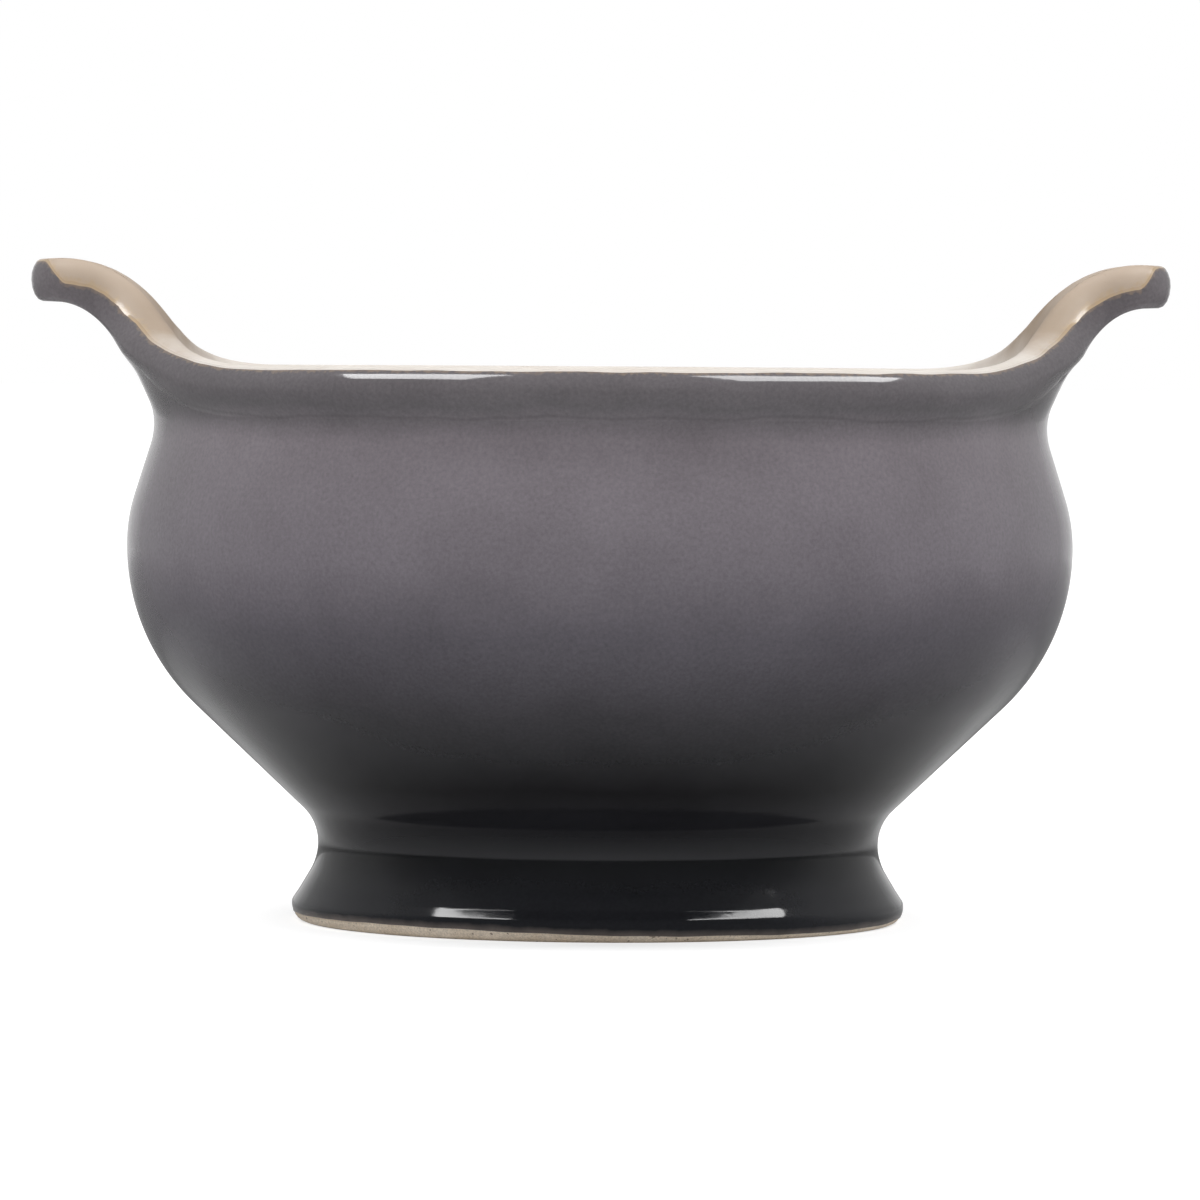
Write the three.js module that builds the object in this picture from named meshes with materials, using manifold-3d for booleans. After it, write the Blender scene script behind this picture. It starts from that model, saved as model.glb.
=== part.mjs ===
// Soup bowl with two curled ears on a flared foot: stoneware, glazed cream inside and dark outside.
// Millimetres, +Z up. The origin is the middle of the standing ring, and the ears lie along X.
import * as THREE from "three";
import { mergeVertices } from "three/addons/utils/BufferGeometryUtils.js";
import Module from "manifold-3d";

const { clamp, degToRad, lerp, smoothstep } = THREE.MathUtils;
const RIGHT_ANGLE = Math.PI / 2;

// Heights of the bowl's stages, from the table up
const FOOT_HEIGHT = 11.7;
const CONE_RISE = 44.8;
const SHOULDER_RISE = 18.3;
const LIP_RISE = 8.2;

// Outside radii of the clay
const BELLY_RADIUS = 71;
const NECK_INSET = 4;
const WAIST_RADIUS = 42;
const FOOT_FLARE = 3.9;

// Each run between two stages is an S of two arcs with a straight between them.
// Roundness is the share of the fullest arcs that fit, and the second value is the lower arc's share of it.
const SHOULDER = { roundness: 0.83, lowShare: 0.7 };
const CONE = { roundness: 0.82, lowShare: 0.19 };
const FLARE = { roundness: 0.84, lowShare: 0.34 };

// Wall, floor and lip
const WALL = 4.8;
const FLOOR_THICKNESS = 6.3;
const FLOOR_CURVE = 17;
const LIP_LEAN = degToRad(24.5);
const LIP_CURVED_SHARE = 0.54;
const NECK_GROOVE = 1.7;
const LIP_BAND_STEP = 0.5;
const LIP_BAND_FADE = 1.2;
const EDGE_ROUNDING = 1.7;

// Ears: each is the lip drawn up into a lobe that curls outwards
const EAR_RISE = 6.3;
const EAR_CURL = 13.1;
const EAR_TIP_STRAIGHT = 3.8;
const EAR_ROOT_HALF_WIDTH = 48;
const EAR_HALF_WIDTH = 7.9;
const EAR_FILLET_HEIGHT = 17;
const EAR_THICKNESS = 6.6;
const EAR_TIP_THICKNESS = 5.2;
const EAR_SWELL_LENGTH = 5.2;
const EAR_TAPER_LENGTH = 17;
const EAR_BAND = 4;

// Foot
const FOOT_WALL = 6;
const FOOT_EDGE_ROUNDING = 1.7;
const STANDING_WIDTH = 4.6;
const BORE_ROUNDING = 1;

// Glaze coats. The glaze line is an angle on the lip's rounded edge, from its crest to the outside.
// The glaze stop is an angle on the foot's rounded edge, from its widest place.
const GLAZE = 0.4;
const GLAZE_LINE = degToRad(13);
const GLAZE_LINE_AT_TIP = degToRad(-60);
const GLAZE_STOP = degToRad(-14.5);
const BASE_GLAZE_STOP = 3;

// Slip joints, where the ears sit in the rim
const SLIP_JOINT = 0.3;
const EAR_SEAT_HALF_WIDTH = 28.4;
const EAR_SEAT_DEPTH = 5.4;

// Steps of the mesh along each curve, and how the columns under an ear spread towards its root
const STEPS = {
  waist: 2,
  cone: 4,
  shoulder: 2,
  neck: 1,
  innerShoulder: 1,
  innerCone: 3,
  floor: 2,
  footEdge: 1,
  bareEdge: 2,
  bore: 1,
  lobe: 4,
  fillet: 4,
  rim: 10,
  outerRail: 5,
  innerRail: 4,
  seat: 5,
  edge: 3,
};
const ROOT_SPREAD = 1.6;

const COLOURS = { clay: "#b39f88", cream: "#dcd3c4", dark: "#55535a", base: "#2a2a2e" };
const CLAY_ROUGHNESS = 0.85;
const GLAZE_ROUGHNESS = 0.25;

const wasm = await Module();
wasm.setup();

const point = (radius, height) => new THREE.Vector2(radius, height);

// Points along an arc in the outline, from one angle to another, with both ends
function arc(centre, radius, from, to, steps) {
  return Array.from({ length: steps + 1 }, (_, i) => {
    const angle = lerp(from, to, i / steps);
    return point(centre.x + radius * Math.cos(angle), centre.y + radius * Math.sin(angle));
  });
}

// The S between two upright places of the outline. Its two arcs can be taken at a depth in from the outline.
// Middle is the direction from the low arc's centre to the straight.
function sRun(low, high, { roundness, lowShare }) {
  const side = Math.sign(low.x - high.x);
  const radii = (roundness * low.distanceToSquared(high)) / Math.abs(2 * (low.x - high.x));
  const lowRadius = radii * lowShare;
  const highRadius = radii - lowRadius;
  const lowCentre = point(low.x - side * lowRadius, low.y);
  const highCentre = point(high.x + side * highRadius, high.y);
  const span = highCentre.clone().sub(lowCentre);
  const middle = span.angle() - side * Math.acos(radii / span.length());
  const start = side > 0 ? 0 : Math.PI;
  return {
    middle,
    highCentre,
    highRadius,
    lowArc: (depth, steps) => arc(lowCentre, lowRadius - side * depth, start, middle, steps),
    highArc: (depth, steps) =>
      arc(highCentre, highRadius + side * depth, middle + Math.PI, start + Math.PI, steps),
  };
}

// The stages of the outline, and the runs between them
const waist = point(WAIST_RADIUS, FOOT_HEIGHT);
const belly = point(BELLY_RADIUS, waist.y + CONE_RISE);
const neck = point(belly.x - NECK_INSET, belly.y + SHOULDER_RISE);
const footEdge = point(waist.x + FOOT_FLARE, FOOT_EDGE_ROUNDING);
const rimHeight = neck.y + LIP_RISE;
const floorHeight = waist.y + FLOOR_THICKNESS;
const flare = sRun(footEdge, waist, FLARE);
const cone = sRun(waist, belly, CONE);
const shoulder = sRun(belly, neck, SHOULDER);

// The wall's outside from the waist up to just below the neck
const outsideOfWall = [
  ...cone.lowArc(0, STEPS.waist),
  ...cone.highArc(0, STEPS.cone),
  ...shoulder.lowArc(0, STEPS.shoulder).slice(1),
  ...shoulder.highArc(0, STEPS.neck).slice(0, -1),
];

// The wall's inside from below the neck down to the flat of the floor, a wall's thickness in from the outside
const coneAngle = cone.middle - Math.PI;
const innerConeRadius = cone.highRadius - WALL;
const floorCentre = point(0, floorHeight + FLOOR_CURVE);
const floorDrop = (floorCentre.y - cone.highCentre.y) * Math.sin(coneAngle);
floorCentre.x = cone.highCentre.x + (innerConeRadius - FLOOR_CURVE - floorDrop) / Math.cos(coneAngle);
const insideOfWall = [
  ...shoulder.highArc(WALL, STEPS.neck).reverse().slice(1),
  ...shoulder.lowArc(WALL, STEPS.innerShoulder).reverse(),
  ...arc(cone.highCentre, innerConeRadius, 0, coneAngle, STEPS.innerCone).slice(1),
  ...arc(floorCentre, FLOOR_CURVE, coneAngle, -RIGHT_ANGLE, STEPS.floor),
];

// The foot's outside from the glaze stop up to just below the waist, and its bare edge from the table
const footEdgeCentre = point(footEdge.x - FOOT_EDGE_ROUNDING, FOOT_EDGE_ROUNDING);
const footEdgeArc = (from, to, steps) => arc(footEdgeCentre, FOOT_EDGE_ROUNDING, from, to, steps);
const outsideOfFoot = [
  ...footEdgeArc(GLAZE_STOP, 0, STEPS.footEdge).slice(0, -1),
  ...flare.lowArc(0, STEPS.footEdge).slice(1),
  ...flare.highArc(0, STEPS.waist).slice(0, -1),
];
const bareEdgeOfFoot = footEdgeArc(-RIGHT_ANGLE, GLAZE_STOP, STEPS.bareEdge).slice(0, -1);

// The middle of the lip's thickness. It leaves the neck upright, leans out straight past the rim into the
// ear, and curls over to the ear's tip. Lengths along it start at the rim, with the ear above.
const leanCos = Math.cos(LIP_LEAN);
const leanSin = Math.sin(LIP_LEAN);
const lipArcRise = LIP_RISE * LIP_CURVED_SHARE;
const lipCurve = lipArcRise / leanSin;
const lipCentre = point(neck.x - WALL / 2 + lipCurve, neck.y);
const lipStraight = (LIP_RISE - lipArcRise) / leanCos;
const rimRadius = lipCentre.x - lipCurve * leanCos + lipStraight * leanSin;
const curlCentre = point(
  rimRadius + EAR_RISE * leanSin + EAR_CURL * leanCos,
  rimHeight + EAR_RISE * leanCos - EAR_CURL * leanSin,
);
const earReach = curlCentre.x + EAR_TIP_STRAIGHT;
const lipPath = new THREE.Path()
  .absarc(lipCentre.x, lipCentre.y, lipCurve, Math.PI, Math.PI - LIP_LEAN, true)
  .absarc(curlCentre.x, curlCentre.y, EAR_CURL, Math.PI - LIP_LEAN, RIGHT_ANGLE, true)
  .lineTo(earReach, curlCentre.y + EAR_CURL);
const lipLength = lipCurve * LIP_LEAN + lipStraight;
const earLength = lipPath.getLength() - lipLength;

function lipLine(length) {
  const share = clamp((length + lipLength) / (earLength + lipLength), 0, 1);
  const { x, y } = lipPath.getTangent(share);
  return { middle: lipPath.getPoint(share), outward: point(y, -x) };
}

// Half of the thickness, which swells from the lip into the ear and tapers to the ear's tip
function halfThickness(length) {
  const swell = (EAR_THICKNESS - WALL) * smoothstep(length, 0, EAR_SWELL_LENGTH);
  const tapered = smoothstep(length, earLength - EAR_TAPER_LENGTH, earLength);
  return (WALL + swell - (EAR_THICKNESS - EAR_TIP_THICKNESS) * tapered) / 2;
}

// A place on an ellipse, and the direction straight out of it there
function onEllipse(centre, across, along, turn) {
  const cos = Math.cos(turn);
  const sin = Math.sin(turn);
  return {
    place: point(centre.x + across * cos, centre.y + along * sin),
    outward: point(cos / across, sin / along).normalize(),
  };
}

// Columns of the mesh round the bowl. Each has its place on the edge, as a distance round the rim and a
// length up the lip line, the direction from there into the lip, and its place round the neck.
// Half of an ear's edge is a rounded lobe, then a fillet that runs out into the rim.
function halfEarColumns(azimuth, side) {
  const steps = STEPS.lobe + STEPS.fillet;
  const lobeCentre = point(0, EAR_FILLET_HEIGHT);
  const lobeLength = earLength - EAR_FILLET_HEIGHT;
  const filletCentre = point(EAR_ROOT_HALF_WIDTH, EAR_FILLET_HEIGHT);
  const filletWidth = EAR_ROOT_HALF_WIDTH - EAR_HALF_WIDTH;
  return Array.from({ length: steps + 1 }, (_, i) => {
    const inLobe = i < STEPS.lobe;
    const turn = RIGHT_ANGLE * (inLobe ? 1 - i / STEPS.lobe : 2 + (i - STEPS.lobe) / STEPS.fillet);
    const { place, outward } = inLobe
      ? onEllipse(lobeCentre, EAR_HALF_WIDTH, lobeLength, turn)
      : onEllipse(filletCentre, filletWidth, EAR_FILLET_HEIGHT, turn);
    const inward = inLobe ? outward.negate() : outward;
    return {
      azimuth,
      edge: point(side * place.x, place.y),
      inward: point(side * inward.x, inward.y),
      neck: side * EAR_ROOT_HALF_WIDTH * (i / steps) ** ROOT_SPREAD,
    };
  });
}

function rimColumns(from, to) {
  return Array.from({ length: STEPS.rim - 1 }, (_, i) => {
    const azimuth = lerp(from, to, (i + 1) / STEPS.rim);
    return { azimuth, edge: point(0, 0), inward: point(0, -1), neck: 0 };
  });
}

const rootAngle = EAR_ROOT_HALF_WIDTH / rimRadius;
const columns = [0, Math.PI].flatMap((azimuth) => [
  ...halfEarColumns(azimuth, -1).slice(1).reverse(),
  ...halfEarColumns(azimuth, 1),
  ...rimColumns(azimuth + rootAngle, azimuth + Math.PI - rootAngle),
]);

const round = (azimuth, radius, height) =>
  new THREE.Vector3(radius * Math.cos(azimuth), radius * Math.sin(azimuth), height);
const onAxis = (height) => [new THREE.Vector3(0, 0, height)];

// A ring at one point of the outline
const turned = ({ x, y }) => columns.map((column) => round(column.azimuth + column.neck / rimRadius, x, y));

// A point of the lip or the ear: a place on its middle sheet, and a distance out from the sheet
function onLip(column, place, out) {
  const { middle, outward } = lipLine(place.y);
  const { x, y } = middle.addScaledVector(outward, out);
  return round(column.azimuth + place.x / rimRadius, x, y);
}

const inFrom = (column, distance) => column.edge.clone().addScaledVector(column.inward, distance);
const neckPlace = (column) => point(column.neck, -lipLength);
const onEar = (column) => smoothstep(column.edge.y, 0, EAR_FILLET_HEIGHT);

// The raised band outside the lip, by the distance in from the edge
const bandWidth = (column) => lerp(lipLength - NECK_GROOVE, EAR_BAND, onEar(column));
const bandStep = (column, distance) =>
  LIP_BAND_STEP * (1 - smoothstep(distance, bandWidth(column) - LIP_BAND_FADE, bandWidth(column)));

// The line where the two glazes meet, from the rim up the ear and round its tip
const onTip = (column) => smoothstep(column.edge.y, EAR_FILLET_HEIGHT, earLength);
const glazeLine = (column) => lerp(GLAZE_LINE, GLAZE_LINE_AT_TIP, onTip(column));

// A ring on the rounded edge, at a share of the way from the glaze line to an angle from the crest
function edgeRing(towards, share) {
  return columns.map((column) => {
    const angle = lerp(glazeLine(column), towards, share);
    const step = angle > 0 ? LIP_BAND_STEP : 0;
    const place = inFrom(column, EDGE_ROUNDING * (1 - Math.cos(angle)));
    return onLip(column, place, (halfThickness(place.y) + step) * Math.sin(angle));
  });
}

// Rings on the rounded edge from the glaze line to an angle, without the first
const edgeRings = (towards) =>
  Array.from({ length: STEPS.edge }, (_, i) => edgeRing(towards, (i + 1) / STEPS.edge));

// A ring on the outside of the lip, at a distance in from the edge
function bandRing(distanceAt) {
  return columns.map((column) => {
    const distance = distanceAt(column);
    const place = inFrom(column, distance);
    return onLip(column, place, halfThickness(place.y) + bandStep(column, distance));
  });
}

// Rings from a distance in from the edge down to the neck, without the first
function railRings(distanceAt, steps, side) {
  return Array.from({ length: steps }, (_, i) =>
    columns.map((column) => {
      const place = inFrom(column, distanceAt(column)).lerp(neckPlace(column), (i + 1) / steps);
      return onLip(column, place, side * halfThickness(place.y));
    }),
  );
}

const lipOutside = [
  ...railRings(bandWidth, STEPS.outerRail, 1).reverse(),
  bandRing(bandWidth),
  bandRing((column) => bandWidth(column) - LIP_BAND_FADE),
  ...edgeRings(RIGHT_ANGLE).reverse(),
];
const lipInside = [...edgeRings(-RIGHT_ANGLE), ...railRings(() => EDGE_ROUNDING, STEPS.innerRail, -1)];

// The same rings moved out along the surface by a coat's thickness
function raised(rings, thickness) {
  const unit = (from, to) => to.clone().sub(from).normalize();
  const at = (ring, j) => ring[(j + ring.length) % ring.length];
  return rings.map((ring, k) => {
    if (ring.length === 1) return onAxis(ring[0].z + thickness);
    return ring.map((p, j) => {
      const up = unit(p, at(rings[k + 1], j));
      if (k > 0) up.add(unit(at(rings[k - 1], j), p));
      const around = unit(p, at(ring, j + 1)).add(unit(at(ring, j - 1), p));
      return p.clone().addScaledVector(around.cross(up).normalize(), thickness);
    });
  });
}

// All glazed rings in one run: up the foot and the wall to the glaze line, over the edge, down to the floor
const footRings = outsideOfFoot.map(turned);
const wallRings = [...outsideOfWall.map(turned), ...lipOutside];
const innerRings = [...lipInside, ...insideOfWall.map(turned), onAxis(floorHeight)];
const clayRings = [...footRings, ...wallRings, edgeRing(0, 0), ...innerRings];
const coatRings = raised(clayRings, GLAZE);
const lineIndex = footRings.length + wallRings.length;

// A closed skin through rings in order. A ring of one point is a pole.
// Without poles, the last ring meets the first.
// Each four-sided patch is split along its shorter diagonal, so that two skins on the same rings match.
function skin(rings) {
  const points = rings.flat();
  const starts = rings.map((_, k) => rings.slice(0, k).flat().length);
  const id = (k, j) => starts[k] + (j % rings[k].length);
  const apart = (a, b) => points[a].distanceToSquared(points[b]);
  const patches = rings[0].length === 1 ? rings.length - 1 : rings.length;
  const index = [];
  for (let k = 0; k < patches; k += 1) {
    const next = (k + 1) % rings.length;
    for (let j = 0; j < columns.length; j += 1) {
      const [a, b, c, d] = [id(k, j), id(k, j + 1), id(next, j + 1), id(next, j)];
      if (a === b) index.push(a, c, d);
      else if (c === d) index.push(a, b, c);
      else if (apart(a, c) < apart(b, d)) index.push(a, b, c, a, c, d);
      else index.push(a, b, d, b, c, d);
    }
  }
  return new THREE.BufferGeometry().setFromPoints(points).setIndex(index);
}

function solid(geometry) {
  const vertProperties = geometry.getAttribute("position").array;
  const triVerts = new Uint32Array(geometry.index.array);
  return new wasm.Manifold(new wasm.Mesh({ numProp: 3, vertProperties, triVerts }));
}

function geometryOf(manifold) {
  const { vertProperties, triVerts } = manifold.getMesh();
  return new THREE.BufferGeometry()
    .setAttribute("position", new THREE.BufferAttribute(vertProperties, 3))
    .setIndex(new THREE.BufferAttribute(triVerts, 1));
}

// The space that an ear takes out of the rim on one side of the bowl: a half-ellipse, open at the top,
// that is upright where it leaves the ear's edge
function earSeat(azimuth, clearance) {
  const halfWidth = EAR_SEAT_HALF_WIDTH + clearance;
  const share = (EAR_ROOT_HALF_WIDTH - EAR_SEAT_HALF_WIDTH) / (EAR_ROOT_HALF_WIDTH - EAR_HALF_WIDTH);
  const edgeHeight = rimHeight + EAR_FILLET_HEIGHT * (1 - Math.sqrt(1 - share ** 2));
  const top = rimHeight + earLength;
  const outline = new THREE.Shape()
    .absellipse(0, edgeHeight, halfWidth, EAR_SEAT_DEPTH + clearance, Math.PI, 2 * Math.PI)
    .lineTo(halfWidth, top)
    .lineTo(-halfWidth, top);
  const depth = earReach + EDGE_ROUNDING;
  const seat = new THREE.ExtrudeGeometry(outline, { depth, bevelEnabled: false, curveSegments: STEPS.seat });
  seat.rotateX(RIGHT_ANGLE).rotateZ(RIGHT_ANGLE + azimuth);
  seat.deleteAttribute("normal");
  seat.deleteAttribute("uv");
  return solid(mergeVertices(seat));
}

// The clay above the waist, first with both ears still on it
const clay = solid(skin([onAxis(waist.y), ...clayRings.slice(footRings.length)]));
const [rightEar, leftEar] = [0, Math.PI].map((azimuth) => geometryOf(clay.intersect(earSeat(azimuth, 0))));
const wall = geometryOf(
  [0, Math.PI].reduce((rest, azimuth) => rest.subtract(earSeat(azimuth, SLIP_JOINT)), clay),
);

// The foot: the edge of its bore, its bare standing edge, its glazed flare and its top under the wall
const recessRadius = waist.x - FOOT_WALL;
const boreCentre = point(footEdgeCentre.x - STANDING_WIDTH, BORE_ROUNDING);
const foot = skin([
  ...arc(boreCentre, BORE_ROUNDING, -Math.PI, -RIGHT_ANGLE, STEPS.bore).map(turned),
  ...bareEdgeOfFoot.map(turned),
  ...footRings,
  turned(waist),
  turned(point(recessRadius, waist.y)),
]);

const interiorGlaze = skin([...clayRings.slice(lineIndex).reverse(), ...coatRings.slice(lineIndex)]);
const exteriorGlaze = skin([
  ...coatRings.slice(0, lineIndex + 1),
  ...clayRings.slice(0, lineIndex + 1).reverse(),
]);

// The coat in the recess: down the inside of the foot and over the wall's underside
const boreRadius = (height) =>
  lerp(boreCentre.x - BORE_ROUNDING, recessRadius, (height - BORE_ROUNDING) / (waist.y - BORE_ROUNDING));
const baseGlazeHeight = waist.y - GLAZE;
const baseGlaze = skin([
  onAxis(baseGlazeHeight),
  turned(point(boreRadius(baseGlazeHeight) - GLAZE, baseGlazeHeight)),
  turned(point(boreRadius(BASE_GLAZE_STOP) - GLAZE, BASE_GLAZE_STOP)),
  turned(point(boreRadius(BASE_GLAZE_STOP), BASE_GLAZE_STOP)),
  turned(point(recessRadius, waist.y)),
  onAxis(waist.y),
]);

const clayFinish = { color: COLOURS.clay, roughness: CLAY_ROUGHNESS, metalness: 0 };
const glazeFinish = (color) => ({ color, roughness: GLAZE_ROUGHNESS, metalness: 0 });
const pieces = [
  ["bowl_wall", wall, clayFinish],
  ["foot_ring", foot, clayFinish],
  ["left_ear", leftEar, clayFinish],
  ["right_ear", rightEar, clayFinish],
  ["interior_glaze", interiorGlaze, glazeFinish(COLOURS.cream)],
  ["exterior_glaze", exteriorGlaze, glazeFinish(COLOURS.dark)],
  ["base_glaze", baseGlaze, glazeFinish(COLOURS.base)],
];

const bowl = new THREE.Group();
bowl.name = "soup_bowl";
for (const [name, geometry, finish] of pieces) {
  geometry.computeVertexNormals();
  const mesh = new THREE.Mesh(geometry, new THREE.MeshStandardMaterial(finish));
  mesh.name = name;
  bowl.add(mesh);
}

export default bowl;
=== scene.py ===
import math

import bmesh
import bpy
import numpy as np
from mathutils import Matrix, Vector, noise


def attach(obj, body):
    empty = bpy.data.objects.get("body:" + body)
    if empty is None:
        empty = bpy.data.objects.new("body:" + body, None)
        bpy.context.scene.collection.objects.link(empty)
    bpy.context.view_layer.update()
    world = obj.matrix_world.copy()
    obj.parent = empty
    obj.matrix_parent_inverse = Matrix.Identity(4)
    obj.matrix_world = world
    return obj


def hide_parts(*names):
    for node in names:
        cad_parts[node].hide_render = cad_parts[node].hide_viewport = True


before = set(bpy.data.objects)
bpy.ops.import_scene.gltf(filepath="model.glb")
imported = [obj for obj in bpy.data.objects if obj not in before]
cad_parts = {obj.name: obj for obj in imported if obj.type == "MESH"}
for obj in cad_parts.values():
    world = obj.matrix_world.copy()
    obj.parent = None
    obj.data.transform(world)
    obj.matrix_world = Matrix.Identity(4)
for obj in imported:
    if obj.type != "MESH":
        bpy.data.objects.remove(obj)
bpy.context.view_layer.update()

MM = 0.001
RIGHT_ANGLE = math.pi / 2
EARS = {"right_ear": 0.0, "left_ear": math.pi}

# Heights of the bowl's stages, from the table up
FOOT_HEIGHT = 11.7 * MM
CONE_RISE = 44.8 * MM
SHOULDER_RISE = 18.3 * MM
LIP_RISE = 8.2 * MM

# Outside radii of the clay
BELLY_RADIUS = 71 * MM
NECK_INSET = 4 * MM
WAIST_RADIUS = 42 * MM
FOOT_FLARE = 3.9 * MM

# Roundness of each S in the outline, and the lower arc's share of it
SHOULDER = {"roundness": 0.83, "low_share": 0.7}
CONE = {"roundness": 0.82, "low_share": 0.19}
FLARE = {"roundness": 0.84, "low_share": 0.28}

# Wall, floor and lip
WALL = 4.8 * MM
FLOOR_THICKNESS = 6.3 * MM
FLOOR_CURVE = 17 * MM
LIP_LEAN = math.radians(24.5)
LIP_CURVED_SHARE = 0.54
NECK_GROOVE = 1.7 * MM
LIP_BAND_STEP = 0.5 * MM
LIP_BAND_FADE = 2 * MM
EDGE_ROUNDING = 2.4 * MM

# Ears
EAR_RISE = 6.3 * MM
EAR_CURL = 13.1 * MM
EAR_TIP_STRAIGHT = 3.8 * MM
EAR_ROOT_HALF_WIDTH = 48 * MM
EAR_HALF_WIDTH = 7.9 * MM
EAR_FILLET_HEIGHT = 17 * MM
EAR_THICKNESS = 6.6 * MM
EAR_TIP_THICKNESS = 5.2 * MM
EAR_SWELL_LENGTH = 5.2 * MM
EAR_TAPER_LENGTH = 17 * MM
EAR_BAND = 4 * MM
EAR_EDGE_ROUNDING = 1.5 * MM
EAR_SEAT_HALF_WIDTH = 28.4 * MM
EAR_SEAT_DEPTH = 5.4 * MM
SLIP_JOINT = 0.3 * MM

# Foot
FOOT_WALL = 6 * MM
FOOT_EDGE_ROUNDING = 1.7 * MM
FOOT_STRIP_TOP = 4.4 * MM
FOOT_STRIP_TILT = math.radians(34)
FOOT_STRIP_ROUNDING = 0.05 * MM
STANDING_WIDTH = 4.6 * MM
BORE_ROUNDING = 1 * MM

# Glaze coats: their thickness, where they meet on the lip's edge, and where they stop on the foot
GLAZE = 0.4 * MM
GLAZE_LINE = math.radians(12)
GLAZE_LINE_AT_TIP = math.radians(-60)
TIP_WRAP = (1.2 * MM, 5 * MM)
GLAZE_STOP = 1.25 * MM
BASE_GLAZE_STOP = 3 * MM

# How the hand shows: the wander of the coats' edges, their swell and borders, and the foot's uneven radius
LINE_WANDER = math.radians(6)
LINE_RIPPLE = math.radians(5)
STOP_WAVE = 0.45 * MM
STOP_WAVE_TURN = math.radians(-135)
STOP_WANDER = 0.2 * MM
EDGE_WANDER_SIZE = 7 * MM
EDGE_RIPPLE_SIZE = 2.2 * MM
COAT_SWELL = 0.05 * MM
COAT_SWELL_SIZE = 14 * MM
STOP_THINNING = 0.6
STOP_THIN_LENGTH = 1.2 * MM
LINE_BEAD = 0.07 * MM
LINE_BEAD_LENGTH = 0.9 * MM
FOOT_UNEVENNESS = 0.001
SEEDS = {"line": 1, "stop": 2, "swell": 3, "foot": 4, "ripple": 6}
SEED_SHIFT = Vector((1, 2, 3))

# The fine meshes: steps along each curve, spread of an ear's columns to its root, seams and sharp corners
STEPS = {
    "bore": 4, "bare_edge": 6, "foot_edge": 12, "flank": 16, "flare": 10, "waist": 8, "cone": 30,
    "shoulder": 16, "neck": 6, "outer_rail": 20, "band": 4, "edge": 7, "inner_rail": 18, "inner_cone": 26,
    "floor": 12, "floor_flat": 6, "lobe": 28, "fillet": 34, "rim": 56, "seat": 32,
}
ROOT_SPREAD = 1.6
FOOT_COLUMNS = 320
SEAM_REACH = 0.001 * MM
SHARP_ANGLE = math.radians(55)


def smooth_step(value, low, high):
    share = np.clip((value - low) / (high - low), 0, 1)
    return share * share * (3 - 2 * share)


def mix(first, second, share):
    return first + (second - first) * share


def unit(vectors):
    return vectors / np.linalg.norm(vectors, axis=-1, keepdims=True)


def outline_point(radius, height):
    return np.array([radius, height])


def arc(centre, radius, start, end, steps):
    """Points along an arc in the outline, with both ends."""
    angle = np.linspace(start, end, steps + 1)
    return centre + radius * np.stack([np.cos(angle), np.sin(angle)], axis=-1)


class SRun:
    """The S between two upright places of the outline: two arcs with a straight between them."""

    def __init__(self, low, high, roundness, low_share):
        self.side = math.copysign(1, low[0] - high[0])
        radii = roundness * np.sum((low - high) ** 2) / abs(2 * (low[0] - high[0]))
        self.low_radius = radii * low_share
        self.high_radius = radii - self.low_radius
        self.low_centre = low - outline_point(self.side * self.low_radius, 0)
        self.high_centre = high + outline_point(self.side * self.high_radius, 0)
        span = self.high_centre - self.low_centre
        turn = math.acos(radii / np.linalg.norm(span))
        self.middle = math.atan2(span[1], span[0]) - self.side * turn
        self.start = 0 if self.side > 0 else math.pi

    def low_arc(self, depth, steps):
        return arc(self.low_centre, self.low_radius - self.side * depth, self.start, self.middle, steps)

    def high_arc(self, depth, steps):
        radius = self.high_radius + self.side * depth
        return arc(self.high_centre, radius, self.middle + math.pi, self.start + math.pi, steps)


# The stages of the outline, and the runs between them
waist = outline_point(WAIST_RADIUS, FOOT_HEIGHT)
belly = outline_point(BELLY_RADIUS, FOOT_HEIGHT + CONE_RISE)
neck = belly + outline_point(-NECK_INSET, SHOULDER_RISE)
foot_edge = outline_point(WAIST_RADIUS + FOOT_FLARE, FOOT_EDGE_ROUNDING)
rim_height = neck[1] + LIP_RISE
floor_height = FOOT_HEIGHT + FLOOR_THICKNESS
flare = SRun(foot_edge, waist, **FLARE)
cone = SRun(waist, belly, **CONE)
shoulder = SRun(belly, neck, **SHOULDER)
foot_edge_centre = foot_edge - outline_point(FOOT_EDGE_ROUNDING, 0)

# The lip's middle line: upright at the neck, leaning out past the rim, curled over to the ear's tip
lip_arc_rise = LIP_RISE * LIP_CURVED_SHARE
lip_curve = lip_arc_rise / math.sin(LIP_LEAN)
lip_arc_length = lip_curve * LIP_LEAN
lip_straight = (LIP_RISE - lip_arc_rise) / math.cos(LIP_LEAN)
lip_length = lip_arc_length + lip_straight
ear_straight = lip_straight + EAR_RISE
curl_length = EAR_CURL * (RIGHT_ANGLE - LIP_LEAN)
ear_length = EAR_RISE + curl_length + EAR_TIP_STRAIGHT
lip_start = neck[0] - WALL / 2
rim_radius = lip_start + lip_curve * (1 - math.cos(LIP_LEAN)) + lip_straight * math.sin(LIP_LEAN)
ear_reach = rim_radius + EAR_RISE * math.sin(LIP_LEAN) + EAR_CURL * math.cos(LIP_LEAN) + EAR_TIP_STRAIGHT


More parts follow.
